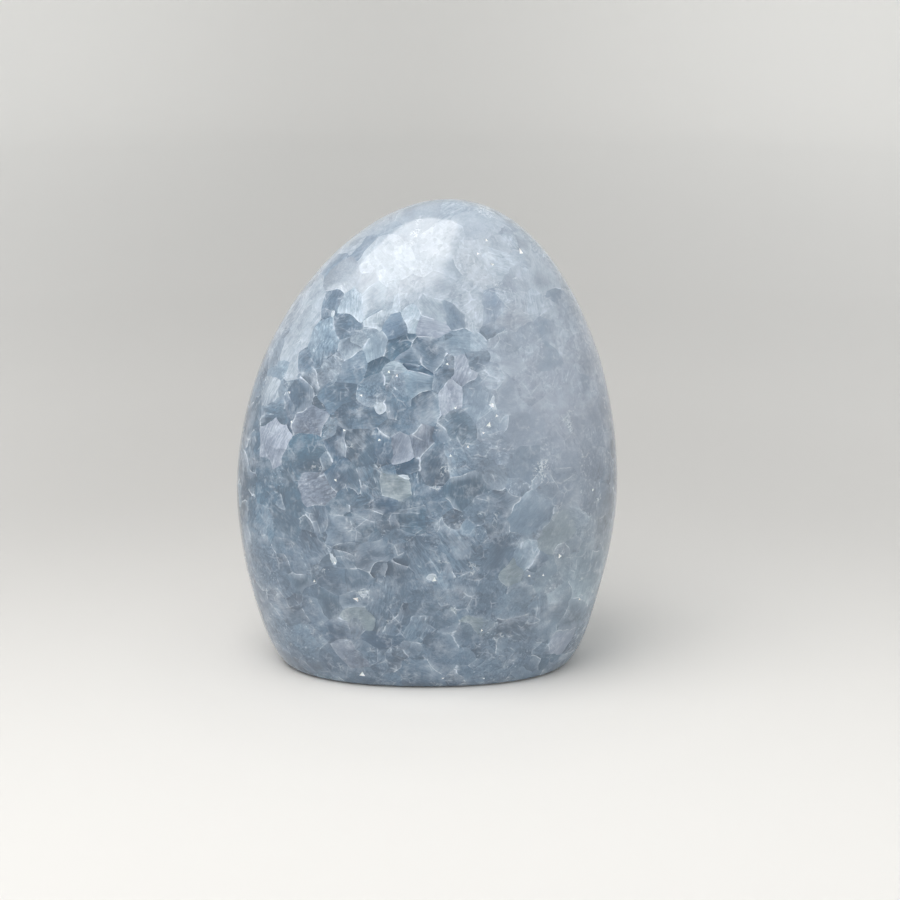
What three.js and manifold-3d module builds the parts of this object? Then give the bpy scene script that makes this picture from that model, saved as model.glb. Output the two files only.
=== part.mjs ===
// A polished blue calcite freeform: one egg-shaped stone, ground smooth all over by hand and cut flat
// underneath, so that it stands by itself. It is a single solid. A few small chips show where a cleavage
// corner broke out.
//
// Millimetres, +Z up. The origin is the middle of the flat base. The broad front looks along -Y, and +X is to
// the right of somebody who faces the front.
import * as THREE from 'three';
import { mergeVertices } from 'three/addons/utils/BufferGeometryUtils.js';
import Module from 'manifold-3d';

// Driving dimensions of the stone
const HEIGHT = 104;
const APEX_LEAN = 4.8; // how far the top stands to the right of the middle of the base
const LEAN_POWER = 3.5; // the lower half stands straight, and only the top leans
const SECTION_POWER = 2.25; // a level section is a little squarer than an ellipse, whose power is 2

// Half the width and half the depth of the level section at each height, before the flats are ground
const STATIONS = [
  { height: 0, halfWidth: 32.6, halfDepth: 20.9 },
  { height: 6, halfWidth: 35.8, halfDepth: 23.5 },
  { height: 14, halfWidth: 38.4, halfDepth: 25.6 },
  { height: 26, halfWidth: 41.0, halfDepth: 27.7 },
  { height: 40, halfWidth: 42.2, halfDepth: 28.6 },
  { height: 54, halfWidth: 40.9, halfDepth: 27.5 },
  { height: 68, halfWidth: 37.3, halfDepth: 25.0 },
  { height: 80, halfWidth: 31.8, halfDepth: 21.2 },
  { height: 90, halfWidth: 25.0, halfDepth: 16.8 },
  { height: 98, halfWidth: 16.6, halfDepth: 11.5 },
  { height: HEIGHT, halfWidth: 0, halfDepth: 0 },
];

// The base rim is eased from the flat into the wall
const RIM_INSET = 1.5;
const RIM_HEIGHT = 2.0;

// Soft flats that hand grinding left: where each one faces, and how deep it bites. Azimuth 0 is the front,
// 90 the right-hand side, and elevation is above the horizon.
const FLATS = [
  { azimuth: -14, elevation: 46, bite: 0.5 },
  { azimuth: 58, elevation: 38, bite: 0.55 },
  { azimuth: -62, elevation: 30, bite: 0.45 },
  { azimuth: 6, elevation: 2, bite: 0.35 },
  { azimuth: 128, elevation: 24, bite: 0.6 },
  { azimuth: -140, elevation: 40, bite: 0.6 },
  { azimuth: 176, elevation: -6, bite: 0.5 },
  { azimuth: 84, elevation: -14, bite: 0.35 },
];
const FLAT_SOFTNESS = 0.22; // how gently a flat runs out into the round

// Broken-out cleavage corners: the place on the front or back, the rhomb's edge, and how deep it bites
const CHIPS = [
  { side: 'front', x: 20.0, z: 94.3, edge: 2.6, bite: 0.7, turn: 20 },
  { side: 'front', x: 13.5, z: 64.9, edge: 2.3, bite: 0.55, turn: 75 },
  { side: 'front', x: 13.1, z: 60.7, edge: 2.4, bite: 0.5, turn: -30 },
  { side: 'front', x: -15.1, z: 22.5, edge: 2.4, bite: 0.6, turn: 50 },
  { side: 'front', x: 1.7, z: 27.4, edge: 2.2, bite: 0.5, turn: -15 },
  { side: 'front', x: 28.5, z: 30.8, edge: 2.2, bite: 0.5, turn: 35 },
  { side: 'front', x: -13.9, z: 3.4, edge: 2.8, bite: 0.7, turn: -40 },
  { side: 'back', x: -17.0, z: 71.0, edge: 2.6, bite: 0.65, turn: 25 },
  { side: 'back', x: 11.5, z: 33.0, edge: 2.2, bite: 0.55, turn: -40 },
  { side: 'back', x: 24.0, z: 58.0, edge: 2.0, bite: 0.5, turn: 65 },
];
const CLEAVAGE_ANGLE = 75; // degrees between the edges of a calcite cleavage rhomb

// Mesh density
const SIDES = 72; // steps round a level section
const RIM_RINGS = 3;
const WALL_RINGS = 30;

const clamp = THREE.MathUtils.clamp;
const radians = THREE.MathUtils.degToRad;

// A size between stations. Its square is interpolated by a Catmull-Rom spline, which keeps the top round.
function sizeAt(height, name) {
  const last = STATIONS.length - 1;
  const upper = Math.max(STATIONS.findIndex((s) => s.height >= clamp(height, 0, HEIGHT)), 1);
  const square = (i) => STATIONS[clamp(i, 0, last)][name] ** 2;
  const level = (i) => STATIONS[clamp(i, 0, last)].height;
  const slope = (i) => {
    const [below, above] = [clamp(i - 1, 0, last), clamp(i + 1, 0, last)];
    return (square(above) - square(below)) / (level(above) - level(below));
  };
  const span = level(upper) - level(upper - 1);
  const t = clamp((height - level(upper - 1)) / span, 0, 1);
  const value =
    (2 * t ** 3 - 3 * t ** 2 + 1) * square(upper - 1) +
    (t ** 3 - 2 * t ** 2 + t) * span * slope(upper - 1) +
    (3 * t ** 2 - 2 * t ** 3) * square(upper) +
    (t ** 3 - t ** 2) * span * slope(upper);
  return Math.sqrt(Math.max(value, 0));
}

// How far the eased rim stands in from the wall at a height
function rimInset(height) {
  return RIM_INSET * (1 - Math.sqrt(clamp(height / RIM_HEIGHT, 0, 1))) ** 2;
}

// The middle of the level section at a height, along X
function spineAt(height) {
  return APEX_LEAN * (clamp(height, 0, HEIGHT) / HEIGHT) ** LEAN_POWER;
}

// The half profile, as radius and height: from the middle of the base, round the rim, up the wall to the apex
function profilePoints() {
  const points = [new THREE.Vector2(0, 0)];
  for (let i = 0; i < RIM_RINGS; i++) {
    const height = RIM_HEIGHT * (i / RIM_RINGS) ** 2;
    points.push(new THREE.Vector2(sizeAt(height, 'halfWidth') - rimInset(height), height));
  }
  for (let i = 0; i < WALL_RINGS; i++) {
    const height = RIM_HEIGHT + (HEIGHT - RIM_HEIGHT) * Math.sin((Math.PI / 2) * (i / WALL_RINGS));
    points.push(new THREE.Vector2(sizeAt(height, 'halfWidth'), height));
  }
  points.push(new THREE.Vector2(0, HEIGHT));
  return points;
}

// A point of the round blank moved to the stone's own section: squarer, shallower, and leaning
function shapeSection(point) {
  const radius = Math.hypot(point.x, point.y);
  if (radius > 0) {
    const [cos, sin] = [point.x / radius, point.y / radius];
    const inset = rimInset(point.z);
    const wide = sizeAt(point.z, 'halfWidth') - inset;
    const deep = sizeAt(point.z, 'halfDepth') - inset;
    const share = wide > 0 ? radius / wide : 0; // under 1 only on the flat base
    point.x = share * wide * Math.sign(cos) * Math.abs(cos) ** (2 / SECTION_POWER);
    point.y = share * deep * Math.sign(sin) * Math.abs(sin) ** (2 / SECTION_POWER);
  }
  point.x += spineAt(point.z);
  return point;
}

// The outward direction of a flat
function facing({ azimuth, elevation }) {
  const [a, e] = [radians(azimuth), radians(elevation)];
  return new THREE.Vector3(Math.sin(a) * Math.cos(e), -Math.cos(a) * Math.cos(e), Math.sin(e));
}

// Grinds one soft flat: what stands proud of its plane comes back to it. The level base stays level.
function grindFlat(points, flat) {
  const normal = facing(flat);
  const plane = Math.max(...points.map((p) => p.dot(normal))) - flat.bite;
  for (const point of points) {
    const proud = point.dot(normal) - plane;
    const kept = -FLAT_SOFTNESS * Math.log1p(Math.exp(-proud / FLAT_SOFTNESS));
    if (point.z > 0) point.addScaledVector(normal, kept - proud);
    point.z = Math.max(point.z, 0);
  }
}

// The whole stone before it was chipped, as one closed mesh with shared vertices
function polishedStone() {
  const lathe = new THREE.LatheGeometry(profilePoints(), SIDES).rotateX(Math.PI / 2);
  lathe.deleteAttribute('normal').deleteAttribute('uv');
  const blank = mergeVertices(lathe, 1e-4);
  const position = blank.attributes.position;
  const points = Array.from({ length: position.count }, (_, i) =>
    shapeSection(new THREE.Vector3().fromBufferAttribute(position, i)),
  );
  FLATS.forEach((flat) => grindFlat(points, flat));
  points.forEach((point, i) => position.setXYZ(i, point.x, point.y, point.z));
  return blank;
}

// The point of the wall at x and z on the front or the back, and the direction that the wall faces there
function wallAt(stone, { side, x, z }) {
  const inward = new THREE.Vector3(0, side === 'front' ? 1 : -1, 0);
  const start = new THREE.Vector3(x, 0, z).addScaledVector(inward, -HEIGHT);
  const [hit] = new THREE.Raycaster(start, inward).intersectObject(new THREE.Mesh(stone));
  return { point: hit.point, normal: hit.face.normal };
}

// A cleavage rhomb that stands corner down in the wall, so that it takes a three-sided chip out of it
function chipRhomb(stone, chip) {
  const lean = Math.cos(radians(CLEAVAGE_ANGLE));
  const sheared = new THREE.Matrix4().makeShear(lean, 0, 0, 0, 0, lean);
  const rhomb = new THREE.BoxGeometry(chip.edge, chip.edge, chip.edge).applyMatrix4(sheared);
  const up = new THREE.Vector3(0, 0, 1);
  const corner = new THREE.Vector3(1, 1, 1).normalize();
  rhomb.applyQuaternion(new THREE.Quaternion().setFromUnitVectors(corner, up)).rotateZ(radians(chip.turn));
  rhomb.computeBoundingBox();
  const { point, normal } = wallAt(stone, chip);
  const outward = new THREE.Quaternion().setFromUnitVectors(up, normal);
  rhomb.translate(0, 0, -rhomb.boundingBox.min.z - chip.bite).applyQuaternion(outward);
  return rhomb.translate(point.x, point.y, point.z);
}

const wasm = await Module();
wasm.setup();

function toSolid(geometry) {
  const bare = geometry.clone();
  bare.deleteAttribute('normal').deleteAttribute('uv');
  const merged = mergeVertices(bare, 1e-4);
  return new wasm.Manifold(
    new wasm.Mesh({
      numProp: 3,
      vertProperties: merged.attributes.position.array,
      triVerts: new Uint32Array(merged.index.array),
    }),
  );
}

function toGeometry(solid) {
  const mesh = solid.getMesh();
  return new THREE.BufferGeometry()
    .setAttribute('position', new THREE.BufferAttribute(mesh.vertProperties, 3))
    .setIndex(new THREE.BufferAttribute(mesh.triVerts, 1));
}

// The stone with its chips taken out, centred over the middle of its base's outline
function chippedStone() {
  const whole = polishedStone();
  const rhombs = CHIPS.map((chip) => toSolid(chipRhomb(whole, chip)));
  const geometry = toGeometry(rhombs.reduce((solid, rhomb) => solid.subtract(rhomb), toSolid(whole)));
  geometry.computeBoundingBox();
  const middle = geometry.boundingBox.getCenter(new THREE.Vector3());
  return geometry.translate(-middle.x, -middle.y, 0);
}

const calcite = new THREE.MeshStandardMaterial({ color: 0x8fa5bd, roughness: 0.22, metalness: 0 });

const stone = new THREE.Mesh(chippedStone(), calcite);
stone.name = 'blue_calcite_stone';

const freeform = new THREE.Group();
freeform.add(stone);

export default freeform;
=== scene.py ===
"""A polished blue calcite freeform on a pale studio floor.

The stone is one piece. Its skin is one fine mesh, ground from a blank in the same way as the real one: a
leaning egg with a squarish section, soft flats left by hand grinding, a sawn base and a few broken-out
cleavage corners. The skin is then parted along the borders of the crystal grains, so that every grain has
its own tone, its own cleavage direction and its own crisp edge. Lengths are in metres.
"""

import logging
import math
from dataclasses import dataclass, field
from enum import Enum

import bpy
import numpy as np
from mathutils import Matrix, Vector
from mathutils.bvhtree import BVHTree


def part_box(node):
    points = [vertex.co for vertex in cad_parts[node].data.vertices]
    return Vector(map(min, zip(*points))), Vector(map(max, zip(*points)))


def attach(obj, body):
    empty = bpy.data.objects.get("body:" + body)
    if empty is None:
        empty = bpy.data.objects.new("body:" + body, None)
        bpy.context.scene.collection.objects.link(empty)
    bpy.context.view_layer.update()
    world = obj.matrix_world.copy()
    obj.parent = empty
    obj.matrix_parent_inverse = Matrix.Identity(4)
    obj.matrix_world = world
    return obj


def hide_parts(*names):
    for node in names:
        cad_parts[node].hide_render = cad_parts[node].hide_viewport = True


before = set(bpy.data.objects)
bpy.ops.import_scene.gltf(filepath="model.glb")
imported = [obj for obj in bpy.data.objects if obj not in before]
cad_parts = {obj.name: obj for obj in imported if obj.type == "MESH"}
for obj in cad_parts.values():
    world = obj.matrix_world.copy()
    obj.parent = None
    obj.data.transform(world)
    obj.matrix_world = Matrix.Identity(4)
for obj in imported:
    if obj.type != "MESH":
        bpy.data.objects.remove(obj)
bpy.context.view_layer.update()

NODE = "blue_calcite_stone"
IMAGE_SIDE = 900
# How strongly a change of light acts on red, green and blue: calcite that is darker is bluer too
TINT_POWERS = (1.15, 1.0, 0.85)

log = logging.getLogger("blue_calcite")


def linear(channel: float) -> float:
    """One display channel from 0 to 255 as linear light."""
    share = channel / 255
    return share / 12.92 if share <= 0.04045 else ((share + 0.055) / 1.055) ** 2.4


class Tone(Enum):
    """The colours that a calcite grain can have, as they look in soft daylight."""

    DEEP_BLUE = (54, 98, 128)
    TEAL = (74, 112, 136)
    SLATE = (92, 121, 144)
    STEEL = (112, 138, 159)
    BLUE = (129, 153, 175)
    SKY = (153, 174, 190)
    PALE_CYAN = (180, 193, 203)
    ICE = (210, 214, 220)
    # WHITE also serves as partly painted highlight under the crown and as painted glints on small flashing
    # planes
    WHITE = (230, 233, 236)
    LILAC = (138, 148, 165)
    PALE_LILAC = (178, 183, 197)
    SAGE = (146, 160, 164)

    @property
    def light(self) -> np.ndarray:
        """The tone in linear light."""
        return np.array([linear(channel) for channel in self.value])


class Habit(Enum):
    """How a grain looks inside: how strong its streaks, mottling, pale rim and dark core are."""

    CLEAR = (0.20, 0.25, 1.00, 0.90)
    MOTTLED = (0.35, 1.00, 0.75, 0.55)
    HATCHED = (1.00, 0.55, 0.70, 0.25)
    FIBROUS = (0.85, 0.75, 0.40, 0.20)
    CLOUDY = (0.12, 0.50, 0.20, 0.40)

    @classmethod
    def drawn(cls, rng: np.random.Generator) -> "Habit":
        """One habit at random, in the shares that they have in the stone."""
        return list(cls)[rng.choice(len(cls), p=(0.24, 0.34, 0.10, 0.14, 0.18))]


@dataclass(frozen=True)
class Station:
    """The level section at one height."""

    height: float
    half_width: float
    half_depth: float


@dataclass(frozen=True)
class Flat:
    """A soft flat of hand grinding. Azimuth 0 faces the front, 90 the right, in degrees."""

    azimuth: float
    elevation: float
    bite: float

    @property
    def normal(self) -> np.ndarray:
        """The outward direction of the flat."""
        a, e = math.radians(self.azimuth), math.radians(self.elevation)
        return np.array([math.sin(a) * math.cos(e), -math.cos(a) * math.cos(e), math.sin(e)])


@dataclass(frozen=True)
class Chip:
    """A broken-out cleavage corner: its place, the rhomb's edge, its depth and its turn in degrees."""

    back: bool
    x: float
    z: float
    edge: float
    bite: float
    turn: float


@dataclass
class SkinMesh:
    """Points and triangles of a surface."""

    points: np.ndarray
    triangles: np.ndarray

    @classmethod
    def of(cls, mesh: bpy.types.Mesh) -> "SkinMesh":
        """Reads a Blender mesh.

        Args:
            mesh: the mesh.

        Returns:
            Its points, and its faces as triangles.
        """
        mesh.calc_loop_triangles()
        points = np.empty(3 * len(mesh.vertices))
        triangles = np.empty(3 * len(mesh.loop_triangles), np.int32)
        mesh.vertices.foreach_get("co", points)
        mesh.loop_triangles.foreach_get("vertices", triangles)
        return cls(points.reshape(-1, 3), triangles.reshape(-1, 3))

    def tree(self) -> BVHTree:
        """A search tree over the triangles."""
        return BVHTree.FromPolygons(self.points.tolist(), self.triangles.tolist())

    def to_object(self, name: str) -> bpy.types.Object:
        """Makes a Blender object of the surface.

        Args:
            name: the name of the object and its mesh.

        Returns:
            The object, linked to the scene.
        """
        mesh = bpy.data.meshes.new(name)
        mesh.vertices.add(len(self.points))
        mesh.vertices.foreach_set("co", self.points.astype(np.float32).ravel())
        mesh.loops.add(self.triangles.size)
        mesh.loops.foreach_set("vertex_index", self.triangles.astype(np.int32).ravel())
        mesh.polygons.add(len(self.triangles))
        mesh.polygons.foreach_set("loop_start", np.arange(0, self.triangles.size, 3, dtype=np.int32))
        mesh.update(calc_edges=True)
        mesh.validate()
        piece = bpy.data.objects.new(name, mesh)
        bpy.context.scene.collection.objects.link(piece)
        return piece


@dataclass(frozen=True)
class StoneForm:
    """The shape of the stone before it was chipped, with the same sizes as its solid."""

    height: float = 0.104
    apex_lean: float = 0.0048
    lean_power: float = 3.5
    section_power: float = 2.25
    rim_inset: float = 0.0015
    rim_height: float = 0.002
    stations: tuple[Station, ...] = (
        Station(0.000, 0.0326, 0.0209),
        Station(0.006, 0.0358, 0.0235),
        Station(0.014, 0.0384, 0.0256),
        Station(0.026, 0.0410, 0.0277),
        Station(0.040, 0.0422, 0.0286),
        Station(0.054, 0.0409, 0.0275),
        Station(0.068, 0.0373, 0.0250),
        Station(0.080, 0.0318, 0.0212),
        Station(0.090, 0.0250, 0.0168),
        Station(0.098, 0.0166, 0.0115),
        Station(0.104, 0.0, 0.0),
    )
    flats: tuple[Flat, ...] = (
        Flat(-14, 46, 0.00050),
        Flat(58, 38, 0.00055),
        Flat(-62, 30, 0.00045),
        Flat(6, 2, 0.00035),
        Flat(128, 24, 0.00060),
        Flat(-140, 40, 0.00060),
        Flat(176, -6, 0.00050),
        Flat(84, -14, 0.00035),
    )
    flat_softness: float = 0.00022
    step: float = 0.00066
    base_step: float = 0.0022
    section_samples: int = 720

    def size_at(self, heights: np.ndarray, name: str) -> np.ndarray:
        """Half the width or depth of the level section between stations, by a spline through its square.

        Args:
            heights: heights above the base.
            name: "half_width" or "half_depth".

        Returns:
            The size at each height.
        """
        levels = np.array([s.height for s in self.stations])
        squares = np.array([getattr(s, name) for s in self.stations]) ** 2
        slopes = np.empty_like(squares)
        slopes[1:-1] = (squares[2:] - squares[:-2]) / (levels[2:] - levels[:-2])
        slopes[0] = (squares[1] - squares[0]) / (levels[1] - levels[0])
        slopes[-1] = (squares[-1] - squares[-2]) / (levels[-1] - levels[-2])
        upper = np.clip(np.searchsorted(levels, heights), 1, len(levels) - 1)
        lower = upper - 1
        span = levels[upper] - levels[lower]
        t = np.clip((heights - levels[lower]) / span, 0, 1)
        value = (
            (2 * t**3 - 3 * t**2 + 1) * squares[lower]
            + (t**3 - 2 * t**2 + t) * span * slopes[lower]
            + (3 * t**2 - 2 * t**3) * squares[upper]
            + (t**3 - t**2) * span * slopes[upper]
        )
        return np.sqrt(np.maximum(value, 0))

    def inset(self, height: float) -> float:
        """How far the eased rim stands in from the wall."""
        return self.rim_inset * (1 - math.sqrt(min(height / self.rim_height, 1))) ** 2

    def spine(self, height: float) -> float:
        """The middle of the level section along X."""
        return self.apex_lean * (height / self.height) ** self.lean_power

    def ring(self, height: float, step: float, offset: float) -> tuple[np.ndarray, np.ndarray]:
        """Evenly spaced points round the level section at a height.

        Args:
            height: the height above the base.
            step: the distance from one point to the next.
            offset: how far the first point stands along the ring, as a share of a step.

        Returns:
            The points, and each point's share of the way round.
        """
        angle = np.linspace(0, 2 * math.pi, self.section_samples + 1)
        power = 2 / self.section_power
        levels = np.array([height])
        wide = self.size_at(levels, "half_width")[0] - self.inset(height)
        deep = self.size_at(levels, "half_depth")[0] - self.inset(height)
        x = wide * np.sign(np.cos(angle)) * np.abs(np.cos(angle)) ** power + self.spine(height)
        y = deep * np.sign(np.sin(angle)) * np.abs(np.sin(angle)) ** power
        along = np.concatenate([[0], np.cumsum(np.hypot(np.diff(x), np.diff(y)))])
        count = max(6, round(along[-1] / step))
        share = (np.arange(count) + offset) / count
        points = np.empty((count, 3))
        points[:, 0] = np.interp(share * along[-1], along, x)
        points[:, 1] = np.interp(share * along[-1], along, y)
        points[:, 2] = height
        return points, share

    def wall_heights(self) -> list[float]:
        """Heights of the rings, evenly spaced along the wall from the rim to just under the apex."""
        samples = 6000
        grid = self.height * (1 - np.linspace(1, 0, samples) ** 2)
        across = (self.size_at(grid, "half_width") + self.size_at(grid, "half_depth")) / 2
        across -= np.array([self.inset(z) for z in grid])
        along = np.concatenate([[0], np.cumsum(np.hypot(np.diff(across), np.diff(grid)))])
        count = round(along[-1] / (self.step * math.sqrt(3) / 2))
        return list(np.interp(np.arange(count) / count * along[-1], along, grid))

    def skin(self) -> SkinMesh:
        """The whole surface of the unchipped stone as rings of triangles, ground by its flats."""
        heights = self.wall_heights()
        rings = [self.ring(height, self.step, 0.5 * (k % 2)) for k, height in enumerate(heights)]
        foot = rings[0][0]
        reach = float(np.abs(foot[:, 1]).max())
        inner = []
        count = int(reach / self.base_step)
        for k in range(1, count):
            points, share = self.ring(0.0, self.base_step, 0.5 * (k % 2))
            points[:, :2] *= 1 - k / count
            inner.append((points, share))
        rings = inner[::-1] + rings
        points = np.vstack([ring for ring, _ in rings])
        starts = np.cumsum([0] + [len(ring) for ring, _ in rings])
        shares = [share for _, share in rings]
        triangles: list[tuple[int, int, int]] = []
        for k in range(len(shares) - 1):
            triangles += stitch(starts[k], shares[k], starts[k + 1], shares[k + 1])
        hub, apex = len(points), len(points) + 1
        first, last = len(shares[0]), len(shares[-1])
        triangles += [(hub, (i + 1) % first, i) for i in range(first)]
        top = starts[-2]
        triangles += [(apex, top + i, top + (i + 1) % last) for i in range(last)]
        points = np.vstack([points, [[0, 0, 0]], [[self.apex_lean, 0, self.height]]])
        self.grind(points)
        return SkinMesh(points, np.array(triangles))

    def grind(self, points: np.ndarray) -> None:
        """Brings what stands proud of each soft flat back to it. The level base stays level.

        Args:
            points: the points of the surface, changed in place.
        """
        above = points[:, 2] > 0
        for flat in self.flats:
            proud = points @ flat.normal
            proud -= proud.max() - flat.bite
            kept = -self.flat_softness * np.log1p(np.exp(-proud / self.flat_softness))
            points[above] += ((kept - proud)[:, None] * flat.normal)[above]
            points[:, 2] = np.maximum(points[:, 2], 0)


def stitch(
    low_start: int, low_share: np.ndarray, high_start: int, high_share: np.ndarray
) -> list[tuple[int, int, int]]:
    """Fills the band between two rings with triangles.

    Args:
        low_start: the first point of the lower ring.
        low_share: each lower point's share of the way round.
        high_start: the first point of the upper ring.
        high_share: each upper point's share of the way round.

    Returns:
        The triangles, with their faces pointing out.
    """
    low, high = list(low_share) + [low_share[0] + 1], list(high_share) + [high_share[0] + 1]
    i, j = 0, 0
    made = []
    while i < len(low_share) or j < len(high_share):
        a, b = low_start + i % len(low_share), high_start + j % len(high_share)
        if j == len(high_share) or (i < len(low_share) and low[i + 1] <= high[j + 1]):
            made.append((a, low_start + (i + 1) % len(low_share), b))
            i += 1
        else:
            made.append((a, high_start + (j + 1) % len(high_share), b))
            j += 1
    return made


def wall_at(tree: BVHTree, x: float, z: float, back: bool = False) -> tuple[Vector, Vector]:
    """The point of the wall at a place on the front or the back, and the direction that it faces.

    Args:
        tree: the search tree of the skin.
        x: the place to the right of the middle of the base.
        z: the height of the place.
        back: whether the place is on the back.

    Returns:
        The point and the outward normal.
    """
    inward = Vector((0, -1 if back else 1, 0))
    point, normal, _, _ = tree.ray_cast(Vector((x, 0, z)) - inward, inward)
    return point, normal


@dataclass(frozen=True)
class Chipping:
    """The cleavage corners that broke out of the skin, and how they are cut.

    The chips are those of the solid. The glints are smaller pits of the same kind, which show as sparks.
    """

    cleavage_angle: float = 75
    chips: tuple[Chip, ...] = (
        Chip(False, 0.0200, 0.0943, 0.0026, 0.00070, 20),
        Chip(False, 0.0135, 0.0649, 0.0023, 0.00055, 75),
        Chip(False, 0.0131, 0.0607, 0.0024, 0.00050, -30),
        Chip(False, -0.0151, 0.0225, 0.0024, 0.00060, 50),
        Chip(False, 0.0017, 0.0274, 0.0022, 0.00050, -15),
        Chip(False, 0.0285, 0.0308, 0.0022, 0.00050, 35),
        Chip(False, -0.0139, 0.0034, 0.0028, 0.00070, -40),
        Chip(True, -0.0170, 0.0710, 0.0026, 0.00065, 25),
        Chip(True, 0.0115, 0.0330, 0.0022, 0.00055, -40),
        Chip(True, 0.0240, 0.0580, 0.0020, 0.00050, 65),
    )
    glint_edge: float = 0.0012
    glint_bite: float = 0.0003
    glints: tuple[tuple[float, float], ...] = (
        (0.0126, 0.0971),
        (0.0106, 0.0947),
        (0.0138, 0.0924),
        (-0.0137, 0.0667),
        (-0.0080, 0.0715),
        (-0.0062, 0.0708),
        (-0.0100, 0.0577),
        (-0.0173, 0.0592),
        (-0.0291, 0.0657),
        (-0.0287, 0.0597),
        (0.0060, 0.0643),
        (0.0042, 0.0733),
        (0.0085, 0.0562),
        (0.0050, 0.0545),
        (0.0145, 0.0625),
        (0.0118, 0.0590),
        (-0.0192, 0.0488),
        (-0.0196, 0.0304),
        (-0.0240, 0.0256),
        (0.0218, 0.0272),
        (0.0248, 0.0268),
        (0.0118, 0.0150),
        (0.0332, 0.0189),
        (0.0035, 0.0028),
        (0.0124, 0.0024),
        (0.0355, 0.0440),
    )

    def all_chips(self) -> list[Chip]:
        """The chips of the solid and the glints, which are turned every way."""
        golden_turn = 137.5
        small = [
            Chip(False, x, z, self.glint_edge, self.glint_bite, golden_turn * k)
            for k, (x, z) in enumerate(self.glints)
        ]
        return [*self.chips, *small]

    def rhomb(self, tree: BVHTree, chip: Chip) -> tuple[np.ndarray, list[tuple[int, ...]]]:
        """A cleavage rhomb that stands corner down in the wall.

        Args:
            tree: the search tree of the skin.
            chip: the chip that it cuts.

        Returns:
            The rhomb's eight corners and its six faces.
        """
        lean = math.cos(math.radians(self.cleavage_angle))
        shear = Matrix(((1, 0, lean), (lean, 1, 0), (0, 0, 1)))
        up = Vector((0, 0, 1))
        upright = Vector((1, 1, 1)).rotation_difference(up).to_matrix()
        turned = Matrix.Rotation(math.radians(chip.turn), 3, "Z") @ upright @ shear
        unit = [Vector((x, y, z)) for x in (-1, 1) for y in (-1, 1) for z in (-1, 1)]
        corners = [turned @ corner * (chip.edge / 2) for corner in unit]
        lift = -min(c.z for c in corners) - chip.bite
        point, normal = wall_at(tree, chip.x, chip.z, chip.back)
        outward = up.rotation_difference(normal).to_matrix()
        placed = [point + outward @ (c + up * lift) for c in corners]
        faces = [(0, 1, 3, 2), (4, 6, 7, 5), (0, 4, 5, 1), (2, 3, 7, 6), (0, 2, 6, 4), (1, 5, 7, 3)]
        return np.array(placed), faces

    def cut(self, skin: SkinMesh) -> SkinMesh:
        """Takes every chip out of the skin.

        Args:
            skin: the whole surface.

        Returns:
            The chipped surface, all in triangles.
        """
        tree = skin.tree()
        points: list[np.ndarray] = []
        faces: list[tuple[int, ...]] = []
        for chip in self.all_chips():
            corners, sides = self.rhomb(tree, chip)
            start = len(corners) * len(points)
            points.append(corners)
            faces += [tuple(start + i for i in side) for side in sides]
        cutter_mesh = bpy.data.meshes.new("cleavage_rhombs")
        cutter_mesh.from_pydata(np.vstack(points).tolist(), [], faces)
        cutter = bpy.data.objects.new("cleavage_rhombs", cutter_mesh)
        bpy.context.scene.collection.objects.link(cutter)
        blank = skin.to_object("blank")
        boolean = blank.modifiers.new("chips", "BOOLEAN")
        boolean.operation = "DIFFERENCE"
        boolean.solver = "MANIFOLD"
        boolean.object = cutter
        chipped = blank.evaluated_get(bpy.context.evaluated_depsgraph_get()).to_mesh()
        result = SkinMesh.of(chipped)
        for piece in (blank, cutter):
            mesh = piece.data
            bpy.data.objects.remove(piece)
            bpy.data.meshes.remove(mesh)
        return result

    def fresh(self, skin: SkinMesh, whole: SkinMesh) -> np.ndarray:
        """Which triangles are fresh breaks and not polished skin.

        Args:
            skin: the chipped surface.
            whole: the surface before it was chipped.

        Returns:
            True for each triangle of a break.
        """
        off_the_skin = 0.000006
        tree = whole.tree()
        middles = skin.points[skin.triangles].mean(axis=1)
        near = np.zeros(len(middles), bool)
        for chip in self.all_chips():
            spot = np.array(wall_at(tree, chip.x, chip.z, chip.back)[0])
            near |= np.linalg.norm(middles - spot, axis=1) < 2 * chip.edge
        broken = np.zeros(len(middles), bool)
        for i in np.flatnonzero(near):
            broken[i] = tree.find_nearest(Vector(middles[i]))[3] > off_the_skin
        return broken


@dataclass(frozen=True)
class Zone:
    """A soft region of the stone: its place on the wall, its reach, its tone and how milky it is."""

    x: float
    z: float
    reach: float
    tone: Tone
    milk: float
    back: bool = False


@dataclass(frozen=True)
class Grain:
    """A crystal grain that stands out on the front.

    half_width is half its shorter side, slant is the direction of its longer side and of its cleavage in
    degrees above +X, stretch is its length over its width, and steepness is over 1 for a small plane that
    lies inside others.
    """

    x: float
    z: float
    tone: Tone
    habit: Habit
    half_width: float
    slant: float = 0
    stretch: float = 1.2
    steepness: float = 1


@dataclass(frozen=True)
class Seed:
    """Where one grain began to grow, and what became of it.

    reach is how much further it grew than its neighbours, ramp is the direction in which it gets paler, and
    blending is how readily it runs into its neighbours without a border.
    """

    centre: np.ndarray
    axis: np.ndarray
    ramp: np.ndarray
    stretch: float
    reach: float
    tone: np.ndarray
    habit: Habit
    blending: float = 1
    steepness: float = 1


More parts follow.
